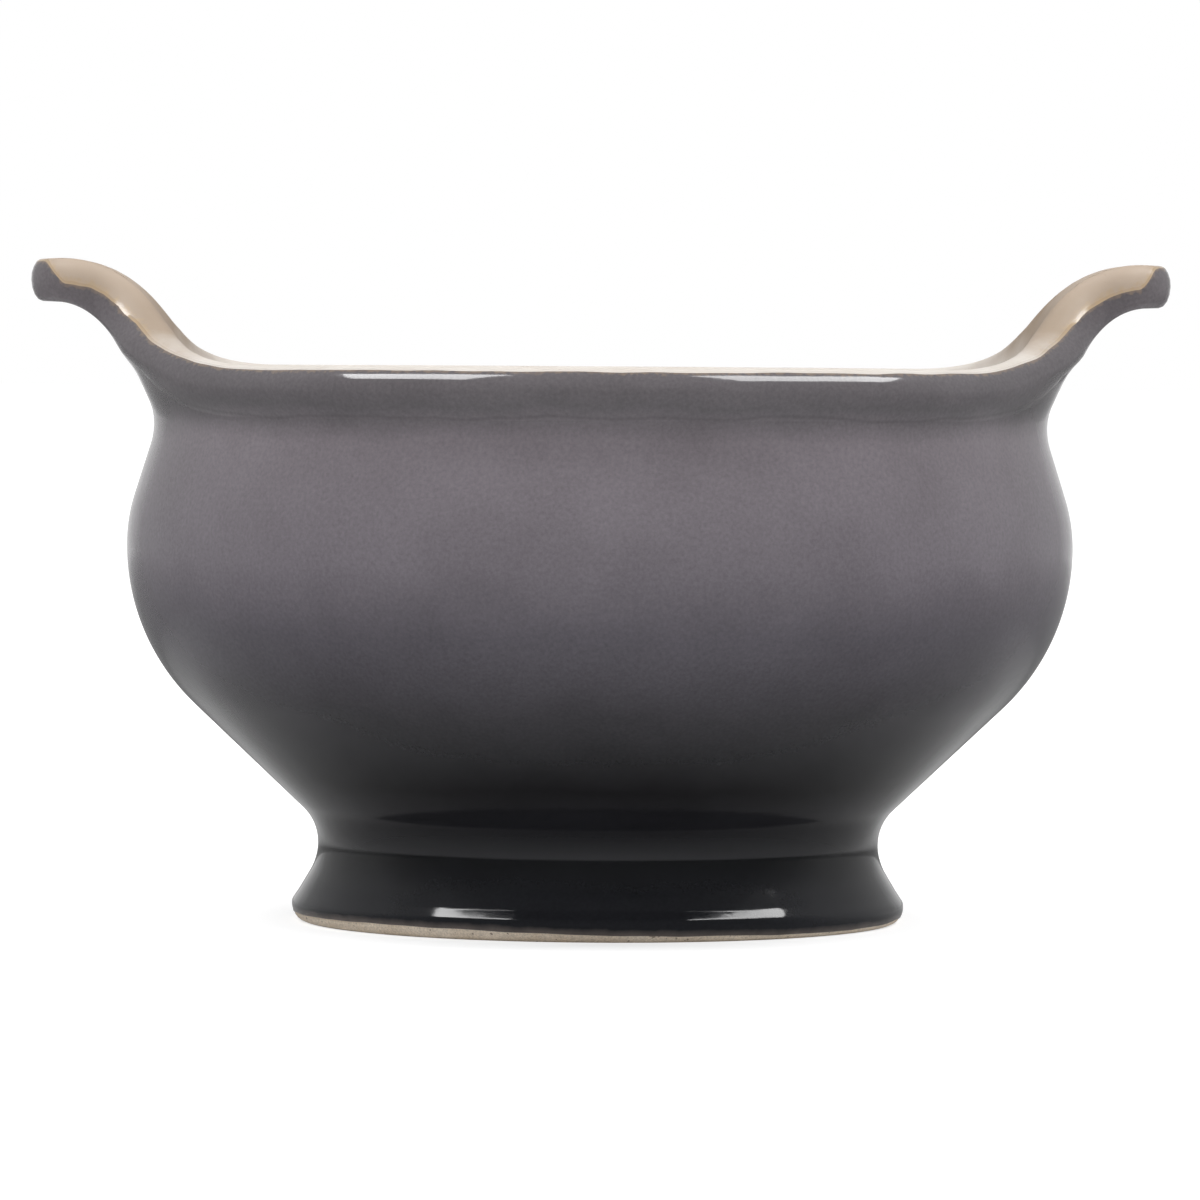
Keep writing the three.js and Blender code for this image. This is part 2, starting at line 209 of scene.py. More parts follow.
def lip_line(length):
    """The middle of the lip's thickness at lengths above the rim, and the directions out of it."""
    along = np.clip(length + lip_length, 0, lip_length + ear_length)
    low = np.minimum(along, lip_arc_length) / lip_curve
    straight = np.clip(along - lip_arc_length, 0, ear_straight)
    curl = np.clip(along - lip_arc_length - ear_straight, 0, curl_length) / EAR_CURL
    tip = np.maximum(along - lip_arc_length - ear_straight - curl_length, 0)
    turn = LIP_LEAN + curl
    radius = lip_start + lip_curve * (1 - np.cos(low)) + straight * math.sin(LIP_LEAN)
    radius = radius + EAR_CURL * (math.cos(LIP_LEAN) - np.cos(turn)) + tip
    height = neck[1] + lip_curve * np.sin(low) + straight * math.cos(LIP_LEAN)
    height = height + EAR_CURL * (np.sin(turn) - math.sin(LIP_LEAN))
    lean = low + curl
    return np.stack([radius, height], -1), np.stack([np.cos(lean), -np.sin(lean)], -1)


def half_thickness(length):
    swell = (EAR_THICKNESS - WALL) * smooth_step(length, 0, EAR_SWELL_LENGTH)
    tapered = smooth_step(length, ear_length - EAR_TAPER_LENGTH, ear_length)
    return (WALL + swell - (EAR_THICKNESS - EAR_TIP_THICKNESS) * tapered) / 2


def quarter_ellipse(centre, across, along, turn):
    """Places on an ellipse, and the directions straight out of it there."""
    cos, sin = np.cos(turn), np.sin(turn)
    places = centre + np.stack([across * cos, along * sin], -1)
    return places, unit(np.stack([cos / across, sin / along], -1))


def half_ear():
    """Half of an ear's edge, from its tip: a rounded lobe, then a fillet that runs out into the rim. With its
    places come the directions from there into the lip, and the places of its columns round the neck."""
    lobe_turn = RIGHT_ANGLE * (1 - np.arange(STEPS["lobe"]) / STEPS["lobe"])
    fillet_turn = RIGHT_ANGLE * (2 + np.arange(STEPS["fillet"] + 1) / STEPS["fillet"])
    lobe_centre = outline_point(0, EAR_FILLET_HEIGHT)
    fillet_centre = outline_point(EAR_ROOT_HALF_WIDTH, EAR_FILLET_HEIGHT)
    fillet_width = EAR_ROOT_HALF_WIDTH - EAR_HALF_WIDTH
    lobe, out = quarter_ellipse(lobe_centre, EAR_HALF_WIDTH, ear_length - EAR_FILLET_HEIGHT, lobe_turn)
    fillet, into = quarter_ellipse(fillet_centre, fillet_width, EAR_FILLET_HEIGHT, fillet_turn)
    share = np.linspace(0, 1, STEPS["lobe"] + STEPS["fillet"] + 1)
    root = EAR_ROOT_HALF_WIDTH * share**ROOT_SPREAD
    return np.concatenate([lobe, fillet]), np.concatenate([-out, into]), root


class Columns:
    """Columns of the mesh round the bowl: the place of each on the edge, as a distance round the rim and a
    length up the lip line, the direction from there into the lip, and its place round the neck."""

    def __init__(self):
        edge, inward, root = half_ear()
        mirror = np.array([-1, 1])
        root_angle = EAR_ROOT_HALF_WIDTH / rim_radius
        rim_share = np.arange(1, STEPS["rim"]) / STEPS["rim"]
        rim_turn = mix(root_angle, math.pi - root_angle, rim_share)
        level = np.zeros_like(rim_turn)
        ear_edge = np.concatenate([edge[:0:-1] * mirror, edge, np.stack([level, level], -1)])
        ear_inward = np.concatenate([inward[:0:-1] * mirror, inward, np.stack([level, level - 1], -1)])
        ear_root = np.concatenate([-root[:0:-1], root, level])
        ear_turn = np.concatenate([np.zeros(2 * len(edge) - 1), rim_turn])
        self.edge = np.concatenate([ear_edge] * len(EARS))
        self.inward = np.concatenate([ear_inward] * len(EARS))
        self.root = np.concatenate([ear_root] * len(EARS))
        self.azimuth = np.concatenate([ear_turn + azimuth for azimuth in EARS.values()])
        self.on_ear = smooth_step(self.edge[:, 1], 0, EAR_FILLET_HEIGHT)
        self.on_tip = smooth_step(self.edge[:, 1], ear_length - TIP_WRAP[1], ear_length - TIP_WRAP[0])
        self.band = mix(lip_length - NECK_GROOVE, EAR_BAND, self.on_ear)
        self.rounding = mix(EDGE_ROUNDING, EAR_EDGE_ROUNDING, self.on_ear)
        self.neck = np.stack([self.root, np.full_like(self.root, -lip_length)], -1)

    def inside_edge(self, distance):
        return self.edge + self.inward * np.reshape(distance, (-1, 1))


columns = Columns()


def in_space(azimuth, radius, height):
    return np.stack(np.broadcast_arrays(radius * np.cos(azimuth), radius * np.sin(azimuth), height), -1)


def turned(place):
    """A ring at one point of the outline."""
    return in_space(columns.azimuth + columns.root / rim_radius, place[0], place[1])


def on_lip(place, out):
    """Points of the lip or the ear: places on its middle sheet, and distances out from the sheet."""
    middle, outward = lip_line(place[:, 1])
    moved = middle + outward * out[:, None]
    return in_space(columns.azimuth + place[:, 0] / rim_radius, moved[:, 0], moved[:, 1])


def hand_noise(points, size, seed):
    """A smooth value from about -1 to 1 at each point, with swells of a size."""
    shift = seed * SEED_SHIFT
    return np.array([noise.noise(Vector(point) / size + shift) for point in points])


# Where the glazes meet on the lip's edge and stop on the foot's edge, as angles on those round edges
edge_points = on_lip(columns.edge, np.zeros(len(columns.edge)))
foot_points = turned(foot_edge)
line_wander = LINE_WANDER * hand_noise(edge_points, EDGE_WANDER_SIZE, SEEDS["line"])
line_ripple = LINE_RIPPLE * hand_noise(edge_points, EDGE_RIPPLE_SIZE, SEEDS["ripple"]) * columns.on_ear
glaze_line = mix(GLAZE_LINE, GLAZE_LINE_AT_TIP, columns.on_tip) + line_wander + line_ripple
stop_turn = np.arctan2(foot_points[:, 1], foot_points[:, 0])
stop_wave = STOP_WAVE * np.cos(2 * (stop_turn - STOP_WAVE_TURN))
stop_wander = STOP_WANDER * hand_noise(foot_points, EDGE_WANDER_SIZE, SEEDS["stop"])
stop_rise = GLAZE_STOP + stop_wave + stop_wander - foot_edge[1]
glaze_stop = np.arcsin(stop_rise / np.where(stop_rise > 0, flare.low_radius, FOOT_EDGE_ROUNDING))


def edge_ring(towards, share):
    """A ring on the rounded edge, at a share of the way from the glaze line to an angle from the crest."""
    angle = mix(glaze_line, towards, share)
    step = LIP_BAND_STEP * (angle > 0)
    place = columns.inside_edge(columns.rounding * (1 - np.cos(angle)))
    return on_lip(place, (half_thickness(place[:, 1]) + step) * np.sin(angle))


def edge_rings(towards):
    """Rings on the rounded edge from the glaze line to an angle, without the first."""
    return [edge_ring(towards, share) for share in np.linspace(0, 1, STEPS["edge"] + 1)[1:]]


def band_ring(share):
    """A ring across the raised band outside the lip, from the rounded edge to the band's border."""
    distance = mix(columns.rounding, columns.band, share)
    place = columns.inside_edge(distance)
    fade = smooth_step(distance, columns.band - LIP_BAND_FADE, columns.band)
    return on_lip(place, half_thickness(place[:, 1]) + LIP_BAND_STEP * (1 - fade))


def rail_rings(distance, steps, side):
    """Rings from a distance in from the edge down to the neck, without the first."""
    start = columns.inside_edge(distance)
    places = [mix(start, columns.neck, share) for share in np.linspace(0, 1, steps + 1)[1:]]
    return [on_lip(place, side * half_thickness(place[:, 1])) for place in places]


def stripped(radius, height):
    """Radii of the foot with the strip that a finger left above its edge: it leans out a little more than the
    flare, and is no wider than the edge."""
    low, high = flare.low_arc(0, 1)[1], flare.high_arc(0, 1)[0]
    top = np.interp(FOOT_STRIP_TOP, [low[1], high[1]], [low[0], high[0]])
    strip = top + (FOOT_STRIP_TOP - height) * math.tan(FOOT_STRIP_TILT)
    sharpness = 1 / FOOT_STRIP_ROUNDING
    strip = -np.logaddexp(-strip * sharpness, -foot_edge[0] * sharpness) / sharpness
    return np.where(height > foot_edge[1], np.maximum(radius, strip), radius)


def flare_outline():
    """The foot's flare above its lower curve, up to the waist."""
    high = flare.high_arc(0, STEPS["flare"])
    flank = mix(flare.low_arc(0, 1)[1], high[0], np.linspace(0, 1, STEPS["flank"] + 1)[1:-1, None])
    outline = np.concatenate([flank, high])
    return np.stack([stripped(*outline.T), outline[:, 1]], -1)


def foot_edge_ring(share):
    """A ring on the foot's lower curve, from the glaze stop up to the straight of its flare."""
    angle = mix(glaze_stop, flare.middle, share)
    curve = np.where(angle > 0, flare.low_radius, FOOT_EDGE_ROUNDING)
    radius = foot_edge[0] - curve * (1 - np.cos(angle))
    height = foot_edge[1] + curve * np.sin(angle)
    return in_space(columns.azimuth + columns.root / rim_radius, stripped(radius, height), height)


def foot_rings():
    """The glazed outside of the foot, from the glaze stop up to just below the waist."""
    edge = [foot_edge_ring(share) for share in np.linspace(0, 1, STEPS["foot_edge"] + 1)]
    return edge + [turned(place) for place in flare_outline()[:-1]]


def wall_rings():
    """The outside of the wall and the lip, from the waist up to just below the glaze line."""
    outline = np.concatenate([
        cone.low_arc(0, STEPS["waist"]),
        cone.high_arc(0, STEPS["cone"]),
        shoulder.low_arc(0, STEPS["shoulder"])[1:],
        shoulder.high_arc(0, STEPS["neck"])[:-1],
    ])
    band = [band_ring(share) for share in np.linspace(1, 0, STEPS["band"] + 1)[:-1]]
    rails = rail_rings(columns.band, STEPS["outer_rail"], 1)
    return [turned(place) for place in outline] + rails[::-1] + band + edge_rings(RIGHT_ANGLE)[::-1]


def inner_rings():
    """The lip's inside from just past the glaze line, and the inside of the wall down to the floor."""
    cone_angle = cone.middle - math.pi
    radius = cone.high_radius - WALL
    centre_height = floor_height + FLOOR_CURVE
    drop = (centre_height - cone.high_centre[1]) * math.sin(cone_angle)
    floor_centre = outline_point(
        cone.high_centre[0] + (radius - FLOOR_CURVE - drop) / math.cos(cone_angle), centre_height
    )
    flat = np.linspace(floor_centre[0], 0, STEPS["floor_flat"] + 1)[1:-1]
    outline = np.concatenate([
        shoulder.high_arc(WALL, STEPS["neck"])[::-1][1:],
        shoulder.low_arc(WALL, STEPS["shoulder"])[::-1],
        arc(cone.high_centre, radius, 0, cone_angle, STEPS["inner_cone"])[1:],
        arc(floor_centre, FLOOR_CURVE, cone_angle, -RIGHT_ANGLE, STEPS["floor"]),
        np.stack([flat, np.full_like(flat, floor_height)], -1),
    ])
    rails = rail_rings(columns.rounding, STEPS["inner_rail"], -1)
    return edge_rings(-RIGHT_ANGLE) + rails + [turned(place) for place in outline]


# All glazed rings in one run: up the foot and the wall to the glaze line, over the edge, down to the floor
below_wall = foot_rings()
below_line = below_wall + wall_rings()
clay_rings = np.stack(below_line + [edge_ring(0, 0)] + inner_rings())
line_index = len(below_line)
floor_middle = np.array([[0, 0, floor_height]])


def ring_normals(rings, last):
    """The direction out of the surface at each point of the rings, which run on to a last point."""
    after = np.concatenate([rings[1:], np.broadcast_to(last, rings[:1].shape)])
    upwards = unit(after - rings)
    upwards[1:] += unit(rings[1:] - rings[:-1])
    around = unit(np.roll(rings, -1, axis=1) - rings) + unit(rings - np.roll(rings, 1, axis=1))
    return unit(np.cross(around, upwards))


# Distances up each column of the clay and from the glaze line, and how thick the coats lie there
out_of_clay = ring_normals(clay_rings, floor_middle)
run = np.linalg.norm(np.diff(clay_rings, axis=0), axis=-1)
along_column = np.concatenate([np.zeros((1, run.shape[1])), np.cumsum(run, axis=0)])
from_line = np.abs(along_column - along_column[line_index])
swells = hand_noise(clay_rings.reshape(-1, 3), COAT_SWELL_SIZE, SEEDS["swell"]).reshape(from_line.shape)
hollows = (1 - swells) / 2
settled = smooth_step(from_line, 0, COAT_SWELL_SIZE / 2)
bead_fall = LINE_BEAD * smooth_step(from_line, 0, LINE_BEAD_LENGTH)
coat_thickness = GLAZE - COAT_SWELL * np.clip(hollows, 0, 1) * settled - bead_fall


def coat(thickness):
    """The clay's rings, moved out by the thickness of a coat."""
    return clay_rings + out_of_clay * thickness[..., None]


def mesh_object(name, points, faces, finish):
    mesh = bpy.data.meshes.new(name)
    mesh.from_pydata(points, [], faces)
    mesh.validate()
    return dressed(bpy.data.objects.new(name, mesh), finish)


def dressed(piece, finish):
    """Links a piece, gives it its finish and shades it smooth, apart from its sharp corners."""
    bpy.context.scene.collection.objects.link(piece)
    piece.data.materials.clear()
    piece.data.materials.append(finish)
    piece.data.shade_smooth()
    piece.data.set_sharp_from_angle(angle=SHARP_ANGLE)
    return piece


def skin_faces(sizes):
    """Faces of a skin through rings of these sizes. A ring of one point is a pole. Without poles the last
    ring meets the first."""
    starts = np.concatenate([[0], np.cumsum(sizes)])
    patches = len(sizes) - 1 if sizes[0] == 1 else len(sizes)
    across = np.arange(len(columns.edge))
    faces = []
    for k in range(patches):
        after = (k + 1) % len(sizes)
        here = starts[k] + across % sizes[k]
        here_next = starts[k] + (across + 1) % sizes[k]
        there = starts[after] + across % sizes[after]
        there_next = starts[after] + (across + 1) % sizes[after]
        corners = [here, here_next, there_next, there]
        if sizes[k] == 1:
            corners = [here, there_next, there]
        elif sizes[after] == 1:
            corners = [here, here_next, there]
        faces.extend(np.stack(corners, -1).tolist())
    return faces


def skin(name, rings, finish, fields=None):
    """A closed piece through rings in order, with fields of one value for each of its points."""
    points = np.concatenate(rings)
    piece = mesh_object(name, points.tolist(), skin_faces([len(ring) for ring in rings]), finish)
    for field, values in (fields or {}).items():
        attribute = piece.data.attributes.new(field, "FLOAT", "POINT")
        attribute.data.foreach_set("value", values.astype(np.float32))
    return piece


def dark_coat(finish):
    """The outside coat: a thin border above the bare foot, and a bead where it meets the cream."""
    last = line_index + 1
    from_stop = along_column[:last]
    thinning = STOP_THINNING * (1 - smooth_step(along_column, 0, STOP_THIN_LENGTH))
    outer = coat(coat_thickness * (1 - thinning))[:last]
    fields = {
        "from_line": np.concatenate([from_line[:last].ravel(), from_line[:last][::-1].ravel()]),
        "from_stop": np.concatenate([from_stop.ravel(), from_stop[::-1].ravel()]),
    }
    return skin("dark_coat", [*outer, *clay_rings[:last][::-1]], finish, fields)


def cream_coat(finish):
    """The inside coat, from the glaze line over the rim and the ears down to the middle of the floor."""
    outer = coat(coat_thickness)[line_index:]
    inner = clay_rings[line_index:]
    pole = np.zeros(1)
    distance = from_line[line_index:]
    far = distance.max() + pole
    fields = {"from_line": np.concatenate([far, distance[::-1].ravel(), distance.ravel(), far])}
    rings = [floor_middle, *inner[::-1], *outer, floor_middle + [0, 0, GLAZE]]
    return skin("cream_coat", rings, finish, fields)


def ear_seat(azimuth, clearance):
    """The space that an ear takes out of the rim: a half-ellipse, open at the top, along the ear."""
    half_width = EAR_SEAT_HALF_WIDTH + clearance
    share = (EAR_ROOT_HALF_WIDTH - EAR_SEAT_HALF_WIDTH) / (EAR_ROOT_HALF_WIDTH - EAR_HALF_WIDTH)
    edge_height = rim_height + EAR_FILLET_HEIGHT * (1 - math.sqrt(1 - share**2))
    turn = np.linspace(math.pi, 2 * math.pi, STEPS["seat"] + 1)
    across = np.concatenate([half_width * np.cos(turn), [half_width, -half_width]])
    heights = edge_height + (EAR_SEAT_DEPTH + clearance) * np.sin(turn)
    heights = np.concatenate([heights, [rim_height + ear_length] * 2])
    corners = len(across)
    facing = math.cos(azimuth)
    reach = (0, ear_reach + WALL)
    ends = [np.stack([np.full(corners, x * facing), across * facing, heights], -1) for x in reach]
    sides = [[i, (i + 1) % corners, corners + (i + 1) % corners, corners + i] for i in range(corners)]
    caps = [list(range(corners))[::-1], list(range(corners, 2 * corners))]
    mesh = bpy.data.meshes.new("ear_seat")
    mesh.from_pydata(np.concatenate(ends).tolist(), [], sides + caps)
    piece = bpy.data.objects.new("ear_seat", mesh)
    bpy.context.scene.collection.objects.link(piece)
    return piece


def cut(name, body, cutters, operation, finish):
    """A new piece: a body cut by, or kept within, each of the cutters in turn."""
    for cutter in cutters:
        modifier = body.modifiers.new("cut", "BOOLEAN")
        modifier.object = cutter
        modifier.operation = operation
        modifier.solver = "MANIFOLD"
    evaluated = body.evaluated_get(bpy.context.evaluated_depsgraph_get())
    mesh = bpy.data.meshes.new_from_object(evaluated)
    body.modifiers.clear()
    mesh.name = name
    return dressed(bpy.data.objects.new(name, mesh), finish)


def clay_pieces(finish):
    """The wall and the two ears, luted into seats in its rim."""
    under_wall = np.array([[0, 0, FOOT_HEIGHT]])
    whole = skin("whole_clay", [under_wall, *clay_rings[len(below_wall):], floor_middle], finish)
    pieces = {}
    close_seats = [ear_seat(azimuth, 0) for azimuth in EARS.values()]
    clear_seats = [ear_seat(azimuth, SLIP_JOINT) for azimuth in EARS.values()]
    for name, seat in zip(EARS, close_seats):
        pieces[name] = cut("stoneware_" + name, whole, [seat], "INTERSECT", finish)
    pieces["bowl_wall"] = cut("stoneware_wall", whole, clear_seats, "DIFFERENCE", finish)
    for helper in [whole, *close_seats, *clear_seats]:
        bpy.data.objects.remove(helper)
    return pieces


def add_node(tree, kind, inputs=None, **settings):
    """A node with its settings. Its inputs are given values or linked, by name or number."""
    node = tree.nodes.new(kind)
    for name, value in settings.items():
        setattr(node, name, value)
    for name, value in (inputs or {}).items():
        if isinstance(value, bpy.types.NodeSocket):
            tree.links.new(value, node.inputs[name])
        else:
            node.inputs[name].default_value = value
    return node


def math_node(tree, operation, *values):
    return add_node(tree, "ShaderNodeMath", dict(enumerate(values)), operation=operation).outputs[0]


def range_node(tree, value, low, high, to_low=0.0, to_high=1.0):
    """A value moved from one range to another, and held at its ends."""
    inputs = {"Value": value, 1: low, 2: high, 3: to_low, 4: to_high}
    return add_node(tree, "ShaderNodeMapRange", inputs, clamp=True).outputs[0]


def mix_node(tree, share, first, second):
    """A value between two others, by a share. They are inputs 2 and 3 of a Mix node."""
    return add_node(tree, "ShaderNodeMix", {0: share, 2: first, 3: second}).outputs[0]


def wheel_tree():
    """A node tree that turns an outline, a chain of points in the XZ plane, round the Z axis. It bends a grid
    of one by one: the grid's X becomes the turn, and its Y the way along the outline."""
    tree = bpy.data.node_groups.new("turned_on_the_wheel", "GeometryNodeTree")
    for name, kind in [
        ("Outline", "NodeSocketGeometry"), ("Columns", "NodeSocketInt"), ("Unevenness", "NodeSocketFloat"),
        ("Swell Size", "NodeSocketFloat"), ("Seed", "NodeSocketFloat"), ("Finish", "NodeSocketMaterial"),
    ]:
        tree.interface.new_socket(name, in_out="INPUT", socket_type=kind)
    tree.interface.new_socket("Turned", in_out="OUTPUT", socket_type="NodeSocketGeometry")
    given = tree.nodes.new("NodeGroupInput").outputs
    outline = given["Outline"]
    count = add_node(tree, "GeometryNodeAttributeDomainSize", {"Geometry": outline}).outputs["Point Count"]
    grid = add_node(tree, "GeometryNodeMeshGrid", {
        "Size X": 1.0, "Size Y": 1.0, "Vertices X": math_node(tree, "ADD", given["Columns"], 1.0),
        "Vertices Y": count,
    })
    position = add_node(tree, "GeometryNodeInputPosition").outputs[0]
    spot = add_node(tree, "ShaderNodeSeparateXYZ", {0: position}).outputs
    turn = math_node(tree, "MULTIPLY_ADD", spot["X"], 2 * math.pi, math.pi)
    last = math_node(tree, "SUBTRACT", count, 1.0)
    row = math_node(tree, "ROUND", math_node(tree, "MULTIPLY", math_node(tree, "ADD", spot["Y"], 0.5), last))
    sample = add_node(
        tree, "GeometryNodeSampleIndex", {"Geometry": outline, "Index": row}, data_type="FLOAT_VECTOR"
    )
    tree.links.new(position, sample.inputs["Value"])
    profile = add_node(tree, "ShaderNodeSeparateXYZ", {0: sample.outputs[0]}).outputs

    def around(radius):
        across = math_node(tree, "MULTIPLY", radius, math_node(tree, "COSINE", turn))
        away = math_node(tree, "MULTIPLY", radius, math_node(tree, "SINE", turn))
        return add_node(tree, "ShaderNodeCombineXYZ", {0: across, 1: away, 2: profile["Z"]}).outputs[0]

    swells = add_node(tree, "ShaderNodeTexNoise", {
        "Vector": around(profile["X"]), "W": given["Seed"], "Detail": 1.0,
        "Scale": math_node(tree, "DIVIDE", 1.0, given["Swell Size"]),
    }, noise_dimensions="4D").outputs[0]
    uneven = math_node(tree, "MULTIPLY", math_node(tree, "SUBTRACT", swells, 0.5), given["Unevenness"])
    scaled = math_node(tree, "MULTIPLY_ADD", uneven, profile["X"], profile["X"])
    shape = grid.outputs["Mesh"]
    for kind, inputs in [
        ("GeometryNodeSetPosition", {"Position": around(scaled)}),
        ("GeometryNodeMergeByDistance", {"Distance": SEAM_REACH}),
        ("GeometryNodeRealizeInstances", {}),
        ("GeometryNodeSetMaterial", {"Material": given["Finish"]}),
    ]:
        shape = add_node(tree, kind, {"Geometry": shape, **inputs}).outputs[0]
    add_node(tree, "NodeGroupOutput", {"Turned": shape})
    return tree


def turned_piece(name, tree, outline, finish, unevenness=0.0, seed=0):
    """A piece turned from an outline by the wheel's node tree, as a plain mesh."""
    chain = bpy.data.meshes.new(name + "_outline")
    chain.from_pydata([(radius, 0, height) for radius, height in outline.tolist()], [], [])
    blank = bpy.data.objects.new(name + "_outline", chain)
    bpy.context.scene.collection.objects.link(blank)
    modifier = blank.modifiers.new("wheel", "NODES")
    modifier.node_group = tree
    named = {item.name: item.identifier for item in tree.interface.items_tree if item.in_out == "INPUT"}
    modifier[named["Columns"]] = FOOT_COLUMNS
    modifier[named["Unevenness"]] = unevenness
    modifier[named["Swell Size"]] = COAT_SWELL_SIZE
    modifier[named["Seed"]] = float(seed)
    modifier[named["Finish"]] = finish
    evaluated = blank.evaluated_get(bpy.context.evaluated_depsgraph_get())
    mesh = bpy.data.meshes.new_from_object(evaluated)
    bpy.data.objects.remove(blank)
    mesh.name = name
    shell = bmesh.new()
    shell.from_mesh(mesh)
    bmesh.ops.recalc_face_normals(shell, faces=shell.faces)
    shell.to_mesh(mesh)
    shell.free()
    return dressed(bpy.data.objects.new(name, mesh), finish)


# The recess under the foot, and the round edge of its bore
recess_radius = WAIST_RADIUS - FOOT_WALL
bore_centre = foot_edge_centre + outline_point(-STANDING_WIDTH, BORE_ROUNDING - FOOT_EDGE_ROUNDING)


def foot_outline():
    """The foot's closed outline: the edge of its bore, its standing edge, its flare and its top."""
    top = outline_point(recess_radius, FOOT_HEIGHT)
    bore = arc(bore_centre, BORE_ROUNDING, -math.pi, -RIGHT_ANGLE, STEPS["bore"])
    bare = arc(foot_edge_centre, FOOT_EDGE_ROUNDING, -RIGHT_ANGLE, 0, STEPS["bare_edge"])
    low = flare.low_arc(0, STEPS["foot_edge"])[1:]
    low[:, 0] = stripped(*low.T)
    return np.concatenate([bore, bare, low, flare_outline(), [top], bore[:1]])


def bore_radius(height):
    share = (height - BORE_ROUNDING) / (FOOT_HEIGHT - BORE_ROUNDING)
    return mix(bore_centre[0] - BORE_ROUNDING, recess_radius, share)


def recess_outline():
    """The coat in the recess: over the wall's underside and down the foot's inside, with a round corner."""
    under = FOOT_HEIGHT - GLAZE
    stop = bore_radius(BASE_GLAZE_STOP)
    corner = outline_point(bore_radius(under) - GLAZE - BORE_ROUNDING, under - BORE_ROUNDING)
    return np.array([
        (0, under),
        *arc(corner, BORE_ROUNDING, RIGHT_ANGLE, 0, STEPS["bore"]),
        (stop - GLAZE, BASE_GLAZE_STOP + GLAZE / 2),
        (stop - GLAZE / 2, BASE_GLAZE_STOP),
        (stop, BASE_GLAZE_STOP),
        (recess_radius, FOOT_HEIGHT),
        (0, FOOT_HEIGHT),
    ])


def srgb(red, green, blue):
    """A colour as read off a screen, from 0 to 255, in linear light."""
    def linear(value):
        share = value / 255
        return share / 12.92 if share <= 0.04045 else ((share + 0.055) / 1.055) ** 2.4

    return (linear(red), linear(green), linear(blue), 1.0)


def grey(level):
    return (level, level, level, 1.0)


def colour_ramp(tree, value, stops):
    """A colour that runs from stop to stop of a value."""
    node = add_node(tree, "ShaderNodeValToRGB", {"Fac": value})
    elements = node.color_ramp.elements
    while len(elements) < len(stops):
        elements.new(1.0)
    for element, (position, colour) in zip(elements, stops):
        element.position = position
        element.color = colour
    return node.outputs["Color"]


# The index of refraction of all the finishes
REFRACTION = 1.5


class Finish:
    """A material in the making, on Object coordinates. Its clouds, tints and bumps are rows of values."""

    def __init__(self, name):
        self.material = bpy.data.materials.new(name)
        self.material.use_nodes = True
        self.tree = self.material.node_tree
        self.shader = self.tree.nodes["Principled BSDF"]
        self.shader.inputs["IOR"].default_value = REFRACTION
        self.place = add_node(self.tree, "ShaderNodeTexCoord").outputs["Object"]
        self.height = add_node(self.tree, "ShaderNodeSeparateXYZ", {0: self.place}).outputs["Z"]

    def math(self, operation, *values):
        return math_node(self.tree, operation, *values)

    def field(self, name):
        return add_node(self.tree, "ShaderNodeAttribute", attribute_name=name).outputs["Fac"]

    def grain(self, size, detail, roughness):
        """Noise from 0 to 1 with grains of a size."""
        inputs = {"Vector": self.place, "Scale": 1 / size, "Detail": detail, "Roughness": roughness}
        return add_node(self.tree, "ShaderNodeTexNoise", inputs).outputs[0]

    def span(self, value, *ends):
        return range_node(self.tree, value, *ends)

    def cloud(self, size, low=0.0, high=1.0, detail=3.0, roughness=0.5, usual=(0.3, 0.7)):
        """Noise with grains of a size, whose usual range is spread from a low value to a high one."""
        return self.span(self.grain(size, detail, roughness), *usual, low, high)

    def strayed(self, distance, stray):
        """A distance that strays by a cloud."""
        return self.math("ADD", distance, self.cloud(**stray))

    def blend(self, share, first, second, how="MIX"):
        """A second colour over a first, by a share: inputs 6 and 7 of a Mix node, and its output 2."""
        inputs = {0: share, 6: first, 7: second}
        return add_node(self.tree, "ShaderNodeMix", inputs, data_type="RGBA", blend_type=how).outputs[2]

    def shaded(self, body, mottle):
        """A colour made darker and lighter by a cloud."""
        level = self.cloud(**mottle)
        shade = add_node(self.tree, "ShaderNodeCombineColor", {0: level, 1: level, 2: level}).outputs[0]
        return self.blend(1.0, body, shade, "MULTIPLY")

    def tinted(self, body, distance, reach, share, colour, where=None):
        """A colour over the body, by a share that fades over a reach of a distance."""
        amount = self.span(distance, *reach, share, 0.0)
        if where is not None:
            amount = self.math("MULTIPLY", amount, where)
        return self.blend(amount, body, colour)

    def surface(self, body, roughness, height, size, detail, grain_roughness=0.5):
        """Joins the colour and the roughness to the shader, with bumps of a height and a size."""
        inputs = {"Height": self.grain(size, detail, grain_roughness), "Distance": height, "Strength": 1.0}
        bump = add_node(self.tree, "ShaderNodeBump", inputs).outputs[0]
        for name, value in (("Base Color", body), ("Roughness", roughness), ("Normal", bump)):
            self.tree.links.new(value, self.shader.inputs[name])
        return self.material


# Shades of the outside glaze by height in millimetres, as they look in plain light. The glaze darkens from
# grey high up to near black at the foot. Painted into it: the dip at 78 to 81 mm is painted shade on the
# lip's band, which leans down, and the dark shade at 22 mm between lighter ones at 18 and 27 mm is a painted
# dark reflection
GLAZE_AND_PAINTED_SHADES = [
    (6, srgb(36, 37, 41)),
    (11, srgb(24, 25, 27)),
    (18, srgb(29, 29, 32)),
    (22, srgb(17, 17, 19)),
    (27, srgb(40, 40, 42)),
    (33, srgb(55, 54, 57)),
    (45, srgb(83, 80, 86)),
    (55, srgb(109, 104, 110)),
    (73, srgb(118, 112, 117)),
    (78, srgb(92, 89, 92)),
    (81, srgb(100, 96, 99)),
    (98, srgb(104, 99, 102)),
]
SHADE_TOP = 100 * MM
SHADE_DRIFT = {"size": 9 * MM, "low": -0.6 * MM, "high": 0.6 * MM}
